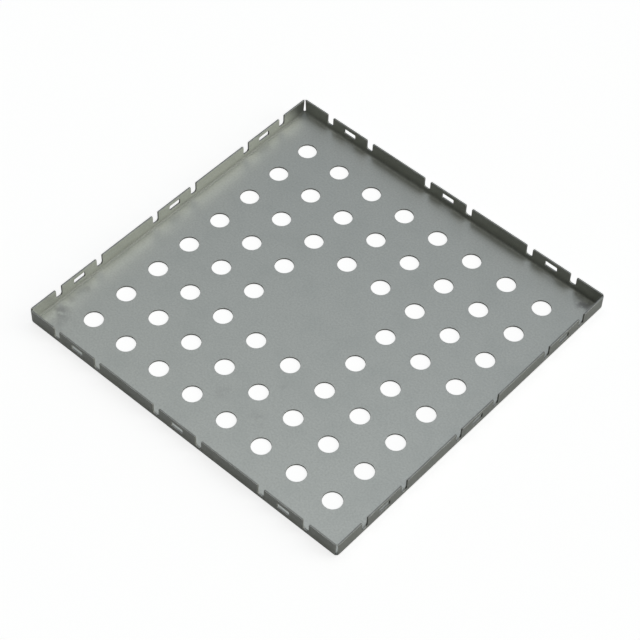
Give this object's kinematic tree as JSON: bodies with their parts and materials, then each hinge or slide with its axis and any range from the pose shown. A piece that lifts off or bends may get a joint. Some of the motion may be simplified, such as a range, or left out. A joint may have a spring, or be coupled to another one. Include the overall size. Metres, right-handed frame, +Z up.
{
  "type": "emi shield can",
  "caption": "Square clip-on cover of a board-level shield can, one folded tin-plated steel sheet with a perforated plate, notched walls and slotted spring tabs.",
  "frame": {"origin": "middle of the plate's outer face, which lies down", "axes": "+Z up out of the open side, +X and +Y along the sides of the square"},
  "size_m": [0.0444, 0.0444, 0.0021],
  "materials": {
    "tinned_steel": "satin electroplated tin on cold-rolled steel sheet"
  },
  "bodies": {
    "root": {"shield_cover": "tinned_steel"}
  },
  "joints": []
}
